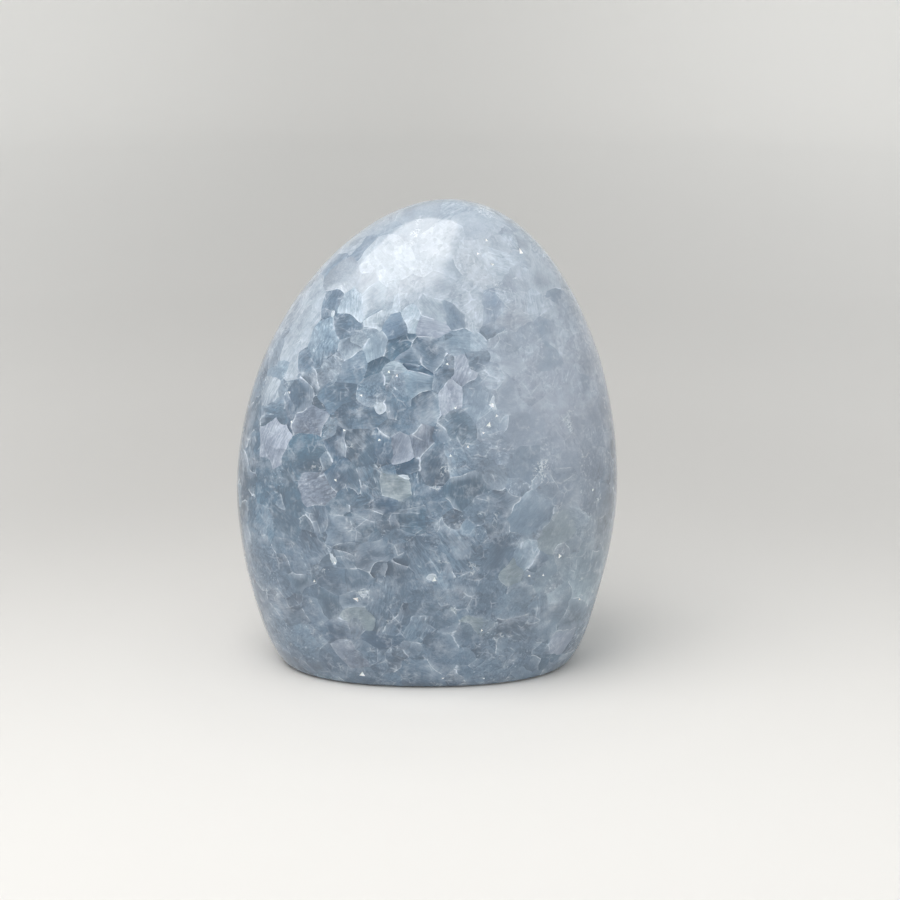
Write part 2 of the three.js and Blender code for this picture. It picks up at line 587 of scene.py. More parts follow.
@dataclass(frozen=True)
class Drift:
    """A smooth random field, a sum of a few sine waves. It bends what would be straight."""

    amplitude: float
    wavelength: float
    waves: int
    seed: int
    detuning: tuple[float, float] = (0.6, 1.6)

    def at(self, points: np.ndarray) -> np.ndarray:
        """The field at some points.

        Args:
            points: the points.

        Returns:
            A vector for each point.
        """
        rng = np.random.default_rng(self.seed)
        total = np.zeros_like(points)
        for _ in range(self.waves):
            heading, push = rng.normal(size=3), rng.normal(size=3)
            heading *= 2 * math.pi / self.wavelength * rng.uniform(*self.detuning) / np.linalg.norm(heading)
            phase = points @ heading + rng.uniform(0, 2 * math.pi)
            total += np.sin(phase)[:, None] * push
        return total * self.amplitude / math.sqrt(self.waves)


class Grains:
    """All grains of the stone, one row each."""

    def __init__(self, seeds: list[Seed], rng: np.random.Generator) -> None:
        """Gathers the grains.

        Args:
            seeds: the grains.
            rng: draws the marks that decide which borders show.
        """
        self.centres = np.array([seed.centre for seed in seeds])
        self.axes = np.array([seed.axis for seed in seeds])
        self.ramps = np.array([seed.ramp for seed in seeds])
        self.shortening = 1 - 1 / np.array([seed.stretch for seed in seeds]) ** 2
        self.reach = np.array([seed.reach for seed in seeds])
        self.tones = np.array([seed.tone for seed in seeds])
        self.habits = np.array([seed.habit.value for seed in seeds])
        self.blending = np.array([seed.blending for seed in seeds])
        self.steepness = np.array([seed.steepness for seed in seeds])
        self.own_mark, self.far_mark, self.pair_mark = rng.random((3, len(seeds)))

    def __len__(self) -> int:
        """How many grains there are."""
        return len(self.centres)

    def distance(self, points: np.ndarray, grain: np.ndarray) -> np.ndarray:
        """How far each point is from one grain of its own, as the grain's growth measures it.

        Args:
            points: the points.
            grain: the grain for each point.

        Returns:
            The distances.
        """
        apart = points - self.centres[grain]
        along = np.einsum("ij,ij->i", apart, self.axes[grain])
        squared = np.einsum("ij,ij->i", apart, apart) - self.shortening[grain] * along**2
        return np.sqrt(np.maximum(squared, 0)) * self.steepness[grain] - self.reach[grain]

    def nearest(self, points: np.ndarray) -> tuple[np.ndarray, np.ndarray]:
        """The grain that holds each point, and the one just behind the nearest border.

        Args:
            points: the points.

        Returns:
            The two grains of each point, and how far the point lies from their border.
        """
        pairs, depth = np.empty((len(points), 2), int), np.empty(len(points))
        own_along = np.einsum("ij,ij->i", self.centres, self.axes)
        own_square = np.einsum("ij,ij->i", self.centres, self.centres)
        batch = 4000
        for start in range(0, len(points), batch):
            part = points[start : start + batch]
            squared = np.einsum("ij,ij->i", part, part)[:, None] + own_square - 2 * part @ self.centres.T
            squared -= self.shortening * (part @ self.axes.T - own_along) ** 2
            reached = np.sqrt(np.maximum(squared, 0)) * self.steepness - self.reach
            two = np.argpartition(reached, 1, axis=1)[:, :2]
            near = np.take_along_axis(reached, two, axis=1)
            order = np.argsort(near, axis=1)
            pairs[start : start + batch] = np.take_along_axis(two, order, axis=1)
            depth[start : start + batch] = np.abs(near[:, 1] - near[:, 0]) / 2
        return pairs, depth

    def rims(self, own: np.ndarray, other: np.ndarray) -> np.ndarray:
        """How pale or dark each grain is along its border with a neighbour. A border's two sides differ.

        Args:
            own: the grains.
            other: their neighbours.

        Returns:
            Up to 1 for a pale rim, 0 where no border shows, and below 0 for a dark one.
        """
        unseen, darkest = 0.48, -0.60
        score = (self.own_mark[own] + self.far_mark[other]) % 1
        return np.where(score > unseen, (score - unseen) / (1 - unseen), darkest * (1 - score / unseen))

    def softness(self, own: np.ndarray, other: np.ndarray) -> np.ndarray:
        """How far each border is lost, the same from both of its sides.

        Args:
            own: the grains.
            other: their neighbours.

        Returns:
            From 0 for a crisp border to 1 for a lost one.
        """
        crisp, lost = 0.50, 0.85
        score = (self.pair_mark[own] + self.pair_mark[other]) % 1
        return np.clip((score - crisp) / (lost - crisp), 0, 1) * self.blending[own] * self.blending[other]


@dataclass
class Parting:
    """The skin parted along the borders of the grains."""

    skin: SkinMesh
    grain: np.ndarray
    pairs: np.ndarray
    depth: np.ndarray


@dataclass(frozen=True)
class Mosaic:
    """The intergrown crystal grains of the stone, and how the skin is parted along their borders."""

    seed: int = 11
    spacing: float = 0.0050
    spacing_spread: float = 0.50
    least_gap: float = 0.0021
    burial: float = 0.0020
    melt: float = 0.0012
    milky_softness: float = 0.95
    tone_spread: float = 0.17
    milky_evenness: float = 0.5
    tint_spread: float = 0.02
    tint_shift: tuple[float, float, float] = (-1.0, 0.2, 0.8)
    longest: float = 1.9
    ramp_strengths: tuple[float, float] = (0.3, 1.0)
    landmark_blending: float = 0.55
    tries: int = 9000
    daylight: tuple[float, float, float] = (1.72, 1.49, 1.34)
    heart: tuple[float, float, float] = (0.0, 0.0, 0.045)
    bend: Drift = Drift(0.00050, 0.009, 10, 3)
    crinkle: Drift = Drift(0.00020, 0.0028, 12, 5)
    ground_tone: Tone = Tone.STEEL
    ground_weight: float = 0.02
    ground_milk: float = 0.3
    # The left zones are darker and the right ones paler: partly the stone's own tone, partly painted shade
    # and painted light against the softbox's light from the left
    zones: tuple[Zone, ...] = (
        # Pale crown where the softbox highlight falls: partly the stone's milky white, partly painted
        # highlight
        Zone(-0.003, 0.095, 0.010, Tone.WHITE, 0.80),
        Zone(-0.022, 0.082, 0.009, Tone.ICE, 0.25),
        Zone(0.020, 0.086, 0.010, Tone.ICE, 0.60),
        Zone(0.000, 0.079, 0.007, Tone.PALE_CYAN, 0.05),
        Zone(-0.012, 0.077, 0.006, Tone.SKY, 0.05),
        Zone(-0.013, 0.066, 0.008, Tone.SLATE, 0.05),
        Zone(0.001, 0.066, 0.006, Tone.BLUE, 0.05),
        Zone(0.010, 0.068, 0.007, Tone.SKY, 0.30),
        Zone(-0.036, 0.062, 0.007, Tone.SLATE, 0.30),
        Zone(-0.024, 0.052, 0.010, Tone.TEAL, 0.05),
        Zone(-0.011, 0.051, 0.007, Tone.SLATE, 0.05),
        Zone(0.002, 0.051, 0.007, Tone.STEEL, 0.05),
        Zone(0.025, 0.068, 0.011, Tone.PALE_LILAC, 0.90),
        Zone(0.035, 0.048, 0.010, Tone.LILAC, 0.75),
        Zone(0.016, 0.048, 0.009, Tone.STEEL, 0.35),
        Zone(0.034, 0.030, 0.011, Tone.SAGE, 0.65),
        Zone(0.015, 0.034, 0.008, Tone.SLATE, 0.25),
        Zone(-0.002, 0.036, 0.008, Tone.SLATE, 0.25),
        Zone(-0.016, 0.036, 0.008, Tone.TEAL, 0.45),
        Zone(-0.036, 0.042, 0.008, Tone.TEAL, 0.15),
        Zone(-0.034, 0.028, 0.009, Tone.SLATE, 0.45),
        Zone(-0.020, 0.016, 0.010, Tone.SLATE, 0.38),
        Zone(0.004, 0.014, 0.010, Tone.STEEL, 0.25),
        Zone(0.026, 0.014, 0.011, Tone.STEEL, 0.40),
        # Painted shade: narrow darker zones on the left and right flanks, where the wall turns away
        Zone(-0.0408, 0.046, 0.005, Tone.TEAL, 0.30),
        Zone(0.0405, 0.046, 0.006, Tone.SLATE, 0.40),
        Zone(-0.020, 0.078, 0.014, Tone.LILAC, 0.60, back=True),
        Zone(0.014, 0.070, 0.013, Tone.BLUE, 0.15, back=True),
        Zone(-0.026, 0.044, 0.013, Tone.SLATE, 0.15, back=True),
        Zone(0.004, 0.046, 0.012, Tone.STEEL, 0.10, back=True),
        Zone(0.028, 0.034, 0.013, Tone.SAGE, 0.55, back=True),
        Zone(-0.010, 0.018, 0.013, Tone.LILAC, 0.45, back=True),
        Zone(0.002, 0.094, 0.010, Tone.PALE_CYAN, 0.25, back=True),
    )
    landmarks: tuple[Grain, ...] = (
        # Under the crown
        Grain(-0.0110, 0.0858, Tone.PALE_CYAN, Habit.CLEAR, 0.0023, 40, 1.3),
        Grain(-0.0036, 0.0881, Tone.ICE, Habit.MOTTLED, 0.0019, 55, 1.4),
        Grain(0.0020, 0.0887, Tone.ICE, Habit.CLEAR, 0.0019, 20, 1.2),
        Grain(0.0093, 0.0990, Tone.ICE, Habit.CLOUDY, 0.0015, 90, 1.7),
        Grain(-0.0131, 0.0960, Tone.STEEL, Habit.MOTTLED, 0.0013, 45, 1.8),
        Grain(-0.0076, 0.0990, Tone.PALE_CYAN, Habit.FIBROUS, 0.0013, 25, 2.6),
        Grain(-0.0196, 0.0916, Tone.BLUE, Habit.MOTTLED, 0.0015, 45, 2.0),
        Grain(-0.0240, 0.0854, Tone.ICE, Habit.CLOUDY, 0.0021, 40, 1.4),
        Grain(-0.0202, 0.0845, Tone.STEEL, Habit.MOTTLED, 0.0015, 75, 2.2),
        # The broad pale flank at the upper left, with the hatched grain beside it
        Grain(-0.0175, 0.0802, Tone.SLATE, Habit.MOTTLED, 0.0019, 10, 1.2),
        Grain(-0.0216, 0.0763, Tone.SKY, Habit.HATCHED, 0.0028, 90, 1.6),
        Grain(-0.0278, 0.0767, Tone.ICE, Habit.CLOUDY, 0.0036, 65, 1.7),
        Grain(-0.0241, 0.0814, Tone.ICE, Habit.CLOUDY, 0.0015, 68, 2.4),
        Grain(-0.0317, 0.0695, Tone.SKY, Habit.MOTTLED, 0.0023, 30, 1.2),
        Grain(-0.0259, 0.0723, Tone.STEEL, Habit.MOTTLED, 0.0015, 30, 1.1),
        Grain(-0.0287, 0.0707, Tone.ICE, Habit.CLOUDY, 0.0011, 60, 1.6),
        Grain(-0.0333, 0.0657, Tone.ICE, Habit.FIBROUS, 0.0017, 60, 2.6),
        # The lilac polygon at the left and the dark sliver beside it
        Grain(-0.0331, 0.0549, Tone.PALE_LILAC, Habit.FIBROUS, 0.0036, 60, 1.4),
        Grain(-0.0289, 0.0627, Tone.DEEP_BLUE, Habit.CLEAR, 0.0007, 98, 3.6),
        Grain(-0.0270, 0.0654, Tone.SLATE, Habit.CLEAR, 0.0023, 90, 1.2),
        Grain(-0.0190, 0.0661, Tone.SLATE, Habit.CLOUDY, 0.0023, 20, 1.2),
        Grain(-0.0160, 0.0718, Tone.STEEL, Habit.CLOUDY, 0.0017, 10, 1.5),
        Grain(-0.0248, 0.0603, Tone.LILAC, Habit.MOTTLED, 0.0028, 10, 1.2),
        Grain(-0.0258, 0.0535, Tone.TEAL, Habit.CLOUDY, 0.0028, 5, 1.7),
        Grain(-0.0189, 0.0560, Tone.DEEP_BLUE, Habit.CLEAR, 0.0019, 95, 1.6),
        # The middle: clear windows with pale rims, and the small white rhomb
        Grain(-0.0070, 0.0808, Tone.BLUE, Habit.CLOUDY, 0.0019, 20, 1.1),
        Grain(0.0018, 0.0810, Tone.PALE_LILAC, Habit.CLEAR, 0.0015, -10, 1.6),
        Grain(0.0055, 0.0832, Tone.STEEL, Habit.CLEAR, 0.0015, 110, 1.7),
        Grain(0.0064, 0.0777, Tone.SKY, Habit.MOTTLED, 0.0023, 0, 1.1),
        Grain(-0.0099, 0.0732, Tone.TEAL, Habit.CLEAR, 0.0015, 62, 1.9),
        Grain(-0.0072, 0.0759, Tone.TEAL, Habit.MOTTLED, 0.0013, 35, 2.0),
        Grain(-0.0038, 0.0747, Tone.STEEL, Habit.CLEAR, 0.0019, -10, 1.3),
        Grain(0.0004, 0.0754, Tone.SLATE, Habit.CLEAR, 0.0021, -25, 1.3),
        Grain(-0.0033, 0.0722, Tone.DEEP_BLUE, Habit.HATCHED, 0.0007, -12, 2.6),
        Grain(-0.0070, 0.0714, Tone.PALE_CYAN, Habit.HATCHED, 0.0013, 0, 1.5),
        Grain(0.0040, 0.0725, Tone.SLATE, Habit.MOTTLED, 0.0013, 15, 1.2),
        Grain(-0.0017, 0.0690, Tone.SKY, Habit.CLEAR, 0.0018, -8, 1.8),
        Grain(0.0028, 0.0686, Tone.SLATE, Habit.CLEAR, 0.0015, 65, 1.5),
        Grain(-0.0002, 0.0653, Tone.STEEL, Habit.CLEAR, 0.0023, 30, 1.2),
        Grain(-0.0100, 0.0643, Tone.ICE, Habit.CLEAR, 0.0012, 88, 1.15, 3),
        Grain(-0.0058, 0.0644, Tone.STEEL, Habit.MOTTLED, 0.0017, 90, 1.3),
        Grain(-0.0124, 0.0627, Tone.SLATE, Habit.CLOUDY, 0.0017, 5, 1.5),
        Grain(0.0046, 0.0671, Tone.PALE_LILAC, Habit.MOTTLED, 0.0021, 80, 1.3),
        Grain(0.0073, 0.0721, Tone.PALE_LILAC, Habit.HATCHED, 0.0019, 70, 1.2),
        Grain(0.0068, 0.0609, Tone.TEAL, Habit.MOTTLED, 0.0028, 30, 1.0),
        Grain(-0.0085, 0.0547, Tone.DEEP_BLUE, Habit.CLEAR, 0.0015, 78, 1.4),
        Grain(-0.0054, 0.0553, Tone.PALE_LILAC, Habit.CLEAR, 0.0021, 65, 1.3),
        Grain(-0.0013, 0.0570, Tone.LILAC, Habit.MOTTLED, 0.0017, 85, 1.6),
        Grain(-0.0046, 0.0518, Tone.DEEP_BLUE, Habit.CLEAR, 0.0013, 12, 2.4),
        Grain(0.0015, 0.0526, Tone.SLATE, Habit.CLEAR, 0.0025, 62, 1.3),
        Grain(-0.0070, 0.0479, Tone.SAGE, Habit.CLEAR, 0.0019, 0, 1.9),
        # The milky side at the right, with round dim spots
        Grain(0.0133, 0.0843, Tone.BLUE, Habit.MOTTLED, 0.0019, 75, 1.6),
        Grain(0.0140, 0.0796, Tone.SLATE, Habit.MOTTLED, 0.0013, 35, 1.2),
        Grain(0.0102, 0.0741, Tone.SLATE, Habit.MOTTLED, 0.0013, 20, 1.5),
        Grain(0.0265, 0.0859, Tone.STEEL, Habit.CLOUDY, 0.0013, 30, 1.1),
        Grain(0.0254, 0.0797, Tone.STEEL, Habit.CLOUDY, 0.0011, 90, 1.4),
        Grain(0.0258, 0.0727, Tone.STEEL, Habit.CLOUDY, 0.0019, 0, 1.1),
        Grain(0.0336, 0.0679, Tone.SLATE, Habit.CLOUDY, 0.0011, 120, 1.5),
        Grain(0.0206, 0.0521, Tone.SLATE, Habit.CLOUDY, 0.0028, 85, 1.5),
        Grain(0.0378, 0.0468, Tone.SLATE, Habit.CLEAR, 0.0011, 86, 3.2),
        # The lower left: dark windows, fine hatching and two crisp polygons
        Grain(-0.0186, 0.0499, Tone.DEEP_BLUE, Habit.CLEAR, 0.0017, 60, 1.2),
        Grain(-0.0235, 0.0464, Tone.LILAC, Habit.FIBROUS, 0.0023, 20, 1.3),
        Grain(-0.0286, 0.0432, Tone.TEAL, Habit.CLOUDY, 0.0019, 90, 1.3),
        Grain(-0.0093, 0.0442, Tone.DEEP_BLUE, Habit.CLEAR, 0.0015, 5, 1.4),
        Grain(-0.0230, 0.0396, Tone.SLATE, Habit.MOTTLED, 0.0017, 110, 1.2),
        Grain(-0.0187, 0.0379, Tone.STEEL, Habit.CLEAR, 0.0023, 20, 1.2),
        Grain(-0.0141, 0.0393, Tone.TEAL, Habit.MOTTLED, 0.0017, 5, 1.8),
        Grain(-0.0246, 0.0325, Tone.SLATE, Habit.HATCHED, 0.0023, 130, 1.5),
        Grain(-0.0118, 0.0330, Tone.SLATE, Habit.CLEAR, 0.0019, 30, 1.6),
        Grain(-0.0271, 0.0251, Tone.TEAL, Habit.CLEAR, 0.0021, 80, 1.2),
        Grain(-0.0207, 0.0210, Tone.TEAL, Habit.CLEAR, 0.0017, 80, 1.1),
        Grain(-0.0251, 0.0180, Tone.STEEL, Habit.CLEAR, 0.0021, 20, 1.3),
        Grain(-0.0197, 0.0141, Tone.DEEP_BLUE, Habit.CLEAR, 0.0023, -15, 1.2),
        Grain(-0.0158, 0.0220, Tone.STEEL, Habit.CLEAR, 0.0015, 10, 1.5),
        Grain(-0.0133, 0.0178, Tone.SAGE, Habit.CLOUDY, 0.0013, 12, 2.2),
        Grain(-0.0104, 0.0136, Tone.DEEP_BLUE, Habit.CLOUDY, 0.0011, -5, 2.8),
        Grain(-0.0172, 0.0081, Tone.LILAC, Habit.MOTTLED, 0.0017, 10, 1.8),
        # The lower middle and right: a large dark window, fibrous sprays and pale wedges
        Grain(0.0080, 0.0474, Tone.TEAL, Habit.CLEAR, 0.0034, 80, 1.1),
        Grain(0.0155, 0.0437, Tone.SLATE, Habit.CLEAR, 0.0013, 20, 2.4),
        Grain(-0.0034, 0.0403, Tone.TEAL, Habit.MOTTLED, 0.0021, 0, 1.5),
        Grain(0.0066, 0.0342, Tone.STEEL, Habit.FIBROUS, 0.0030, -55, 1.8),
        Grain(-0.0007, 0.0320, Tone.STEEL, Habit.FIBROUS, 0.0025, -60, 1.8),
        Grain(0.0148, 0.0315, Tone.SLATE, Habit.CLEAR, 0.0019, 52, 2.0),
        Grain(0.0182, 0.0286, Tone.SAGE, Habit.CLEAR, 0.0017, 20, 1.2),
        Grain(0.0209, 0.0315, Tone.SKY, Habit.MOTTLED, 0.0013, 70, 1.8),
        Grain(0.0238, 0.0293, Tone.SLATE, Habit.CLEAR, 0.0011, 5, 1.8),
        Grain(0.0280, 0.0361, Tone.SAGE, Habit.CLOUDY, 0.0034, 60, 1.1),
        Grain(-0.0067, 0.0171, Tone.SLATE, Habit.MOTTLED, 0.0019, 70, 1.4),
        Grain(0.0105, 0.0166, Tone.SAGE, Habit.CLEAR, 0.0012, -25, 3.2),
        Grain(0.0294, 0.0098, Tone.PALE_LILAC, Habit.CLOUDY, 0.0025, 40, 1.0),
        Grain(0.0269, 0.0047, Tone.TEAL, Habit.CLOUDY, 0.0017, 10, 1.1),
        # Small cleavage planes that flash white, their flash painted into their tone as painted glints
        Grain(0.0138, 0.0652, Tone.WHITE, Habit.CLEAR, 0.0006, 90, 2.8, 5),
        Grain(0.0128, 0.0592, Tone.WHITE, Habit.MOTTLED, 0.0006, 30, 1.6, 5),
        Grain(-0.0138, 0.0670, Tone.WHITE, Habit.CLEAR, 0.0004, 30, 1.8, 5),
        Grain(-0.0134, 0.0233, Tone.WHITE, Habit.MOTTLED, 0.0007, -12, 2.2, 5),
        Grain(-0.0202, 0.0303, Tone.WHITE, Habit.CLEAR, 0.0005, 100, 2.2, 5),
        Grain(0.0008, 0.0283, Tone.WHITE, Habit.MOTTLED, 0.0008, 10, 1.6, 5),
        Grain(-0.0046, 0.0497, Tone.WHITE, Habit.CLEAR, 0.0004, 2, 3.4, 5),
        Grain(-0.0040, 0.0874, Tone.WHITE, Habit.HATCHED, 0.0005, 60, 2.4, 5),
        Grain(-0.0200, 0.0822, Tone.WHITE, Habit.HATCHED, 0.0005, 75, 2.4, 5),
        Grain(0.0206, 0.0908, Tone.WHITE, Habit.CLEAR, 0.0004, 45, 2.0, 5),
    )

    def zone_mix(self, tree: BVHTree, points: np.ndarray) -> tuple[np.ndarray, np.ndarray]:
        """The soft regions blended at some points.

        Args:
            tree: the search tree of the skin.
            points: the points.

        Returns:
            The tone in linear light and the milkiness at each point.
        """
        weight = np.full(len(points), self.ground_weight)
        tone = weight[:, None] * self.ground_tone.light
        milk = self.ground_milk * weight
        for zone in self.zones:
            apart = points - np.array(wall_at(tree, zone.x, zone.z, zone.back)[0])
            here = np.exp(-np.einsum("ij,ij->i", apart, apart) / (2 * zone.reach**2))
            weight += here
            tone += here[:, None] * zone.tone.light
            milk += here * zone.milk
        return tone / weight[:, None], milk / weight

    def landmark_seeds(self, tree: BVHTree, rng: np.random.Generator) -> list[Seed]:
        """The grains that stand out on the front.

        Args:
            tree: the search tree of the skin.
            rng: draws which way each grain gets paler.

        Returns:
            The grains.
        """
        seeds = []
        for mark in self.landmarks:
            slant = math.radians(mark.slant)
            seeds.append(
                Seed(
                    centre=np.array(wall_at(tree, mark.x, mark.z)[0]),
                    axis=np.array([math.cos(slant), 0, math.sin(slant)]),
                    ramp=self.random_ramp(rng),
                    stretch=mark.stretch,
                    reach=mark.half_width * mark.steepness - self.spacing / 2,
                    tone=mark.tone.light,
                    habit=mark.habit,
                    blending=self.landmark_blending,
                    steepness=mark.steepness,
                )
            )
        return seeds

    def random_ramp(self, rng: np.random.Generator) -> np.ndarray:
        """A random direction, as long as the change of tone along it is strong."""
        heading = rng.normal(size=3)
        return heading / np.linalg.norm(heading) * rng.uniform(*self.ramp_strengths)

    def grow(self, skin: SkinMesh) -> Grains:
        """Places the grains that stand out and fills the rest of the stone with random ones.

        Args:
            skin: the chipped surface.

        Returns:
            The grains.
        """
        rng = np.random.default_rng(self.seed)
        tree = skin.tree()
        seeds = self.landmark_seeds(tree, rng)
        most = len(seeds) + self.tries
        centres, radii = np.full((most, 3), np.inf), np.zeros(most)
        for k, seed in enumerate(seeds):
            centres[k], radii[k] = seed.centre, (seed.reach + self.spacing / 2) / seed.steepness
        tried = skin.points[rng.integers(0, len(skin.points), self.tries)]
        zone_tones, milk = self.zone_mix(tree, tried)
        for point, zone_tone, milkiness in zip(tried, zone_tones, milk):
            radius = max(self.spacing * math.exp(rng.normal(0, self.spacing_spread)), self.least_gap) / 2
            count = len(seeds)
            if (np.linalg.norm(centres[:count] - point, axis=1) - radii[:count]).min() < radius:
                continue
            inward = np.array(self.heart) - point
            axis = rng.normal(size=3)
            spread = self.tone_spread * (1 - self.milky_evenness * milkiness)
            lightness = math.exp(rng.normal(0, spread))
            tint = 1 + rng.normal(0, self.tint_spread) * np.array(self.tint_shift)
            seed = Seed(
                centre=point + inward / np.linalg.norm(inward) * rng.uniform(0, self.burial),
                axis=axis / np.linalg.norm(axis),
                ramp=self.random_ramp(rng),
                stretch=rng.uniform(1.0, self.longest),
                reach=radius - self.spacing / 2,
                tone=zone_tone * lightness ** np.array(TINT_POWERS) * tint,
                habit=Habit.drawn(rng),
            )
            centres[count], radii[count] = seed.centre, radius
            seeds.append(seed)
        return Grains(seeds, rng)

    def part(self, skin: SkinMesh, grains: Grains) -> Parting:
        """Parts the triangles of the skin along the borders of the grains.

        Args:
            skin: the chipped surface.
            grains: the grains.

        Returns:
            The parted skin.
        """
        felt = skin.points + self.bend.at(skin.points) + self.crinkle.at(skin.points)
        pairs, depth = grains.nearest(felt)
        owner = pairs[:, 0]
        triangles = skin.triangles
        names = owner[triangles]
        whole = (names[:, 0] == names[:, 1]) & (names[:, 1] == names[:, 2])
        ends = ([0, 1], [1, 2], [2, 0])
        sides = np.sort(np.vstack([triangles[:, pair] for pair in ends]), axis=1)
        crossed = np.unique(sides[owner[sides[:, 0]] != owner[sides[:, 1]]], axis=0)
        a, b = crossed[:, 0], crossed[:, 1]
        lead_a = grains.distance(felt[a], owner[b]) - grains.distance(felt[a], owner[a])
        lead_b = grains.distance(felt[b], owner[a]) - grains.distance(felt[b], owner[b])
        least_lead, corner_room = 1e-12, 0.08
        share = lead_a / np.maximum(lead_a + lead_b, least_lead)
        share = np.clip(share, corner_room, 1 - corner_room)[:, None]
        on_border = skin.points[a] * (1 - share) + skin.points[b] * share
        number = {(int(p), int(q)): len(skin.points) + k for k, (p, q) in enumerate(crossed)}
        hubs, hub_pairs, extra_triangles, extra_names = [], [], [], []
        hub_start = len(skin.points) + len(crossed)
        for triangle, name in zip(triangles[~whole].tolist(), names[~whole].tolist()):
            around = zip(triangle, triangle[1:] + triangle[:1])
            cuts = [number.get((min(p, q), max(p, q))) for p, q in around]
            if None in cuts:
                lone = (cuts.index(None) + 2) % 3
                p, q, r = (triangle[(lone + k) % 3] for k in range(3))
                after, before = cuts[lone], cuts[(lone + 2) % 3]
                extra_triangles += [(p, after, before), (after, q, r), (after, r, before)]
                extra_names += [name[lone], name[(lone + 1) % 3], name[(lone + 1) % 3]]
                continue
            hub = hub_start + len(hubs)
            hubs.append(sum(on_border[cut - len(skin.points)] for cut in cuts) / 3)
            hub_pairs.append(name[:2])
            for k in range(3):
                extra_triangles += [(triangle[k], cuts[k], hub), (triangle[k], hub, cuts[(k + 2) % 3])]
                extra_names += [name[k], name[k]]
        points = np.vstack([skin.points, on_border, np.array(hubs).reshape(-1, 3)])
        border_pairs = np.vstack([owner[crossed], np.array(hub_pairs, int).reshape(-1, 2)])
        return Parting(
            skin=SkinMesh(points, np.vstack([triangles[whole], np.array(extra_triangles)])),
            grain=np.concatenate([names[whole, 0], np.array(extra_names)]),
            pairs=np.vstack([pairs, border_pairs]),
            depth=np.concatenate([depth, np.zeros(len(border_pairs))]),
        )


@dataclass(frozen=True)
class Lumps:
    """A noise: about how wide its lumps are, how many finer layers it has and how strong those are."""

    size: float
    detail: float = 2
    roughness: float = 0.55


@dataclass(frozen=True)
class Patches:
    """Soft-edged patches in a noise: where in its range they begin and are full, and their strength."""

    lumps: Lumps
    low: float
    high: float
    strength: float = 1.0


@dataclass(frozen=True)
class Ridges:
    """Thin lines where a noise swings through 0: how wide and how strong they are."""

    lumps: Lumps
    reach: float
    strength: float = 1.0


